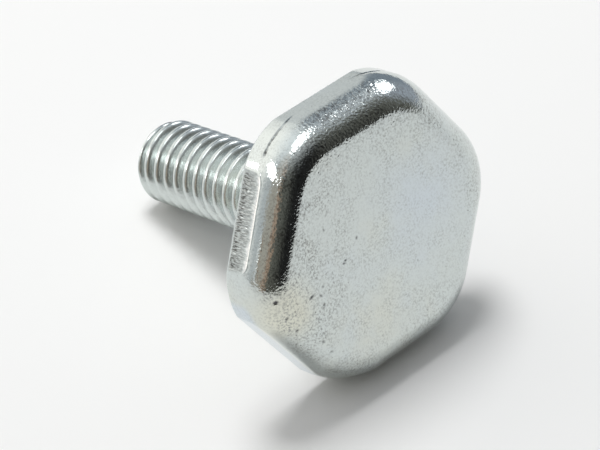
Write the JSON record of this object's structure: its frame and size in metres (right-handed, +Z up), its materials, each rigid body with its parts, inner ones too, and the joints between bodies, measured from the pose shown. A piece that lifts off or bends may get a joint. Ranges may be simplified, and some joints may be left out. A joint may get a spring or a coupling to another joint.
{
  "type": "leveling screw",
  "caption": "Zinc-plated steel leveling screw: a wide, low hexagon head with rounded corners and a flat foot face on a threaded shank, lying at rest.",
  "frame": {"origin": "middle of the resting screw's box, on the floor it lies on", "axes": "+X along the floor from the end of the shank towards the head, +Y across the head, +Z up"},
  "size_m": [0.033, 0.0274, 0.0247],
  "materials": {
    "zinc_steel": "bright zinc plating with a faint blue and straw tint, satin with fine pits"
  },
  "bodies": {
    "root": {"leveling_screw": "zinc_steel"}
  },
  "joints": []
}
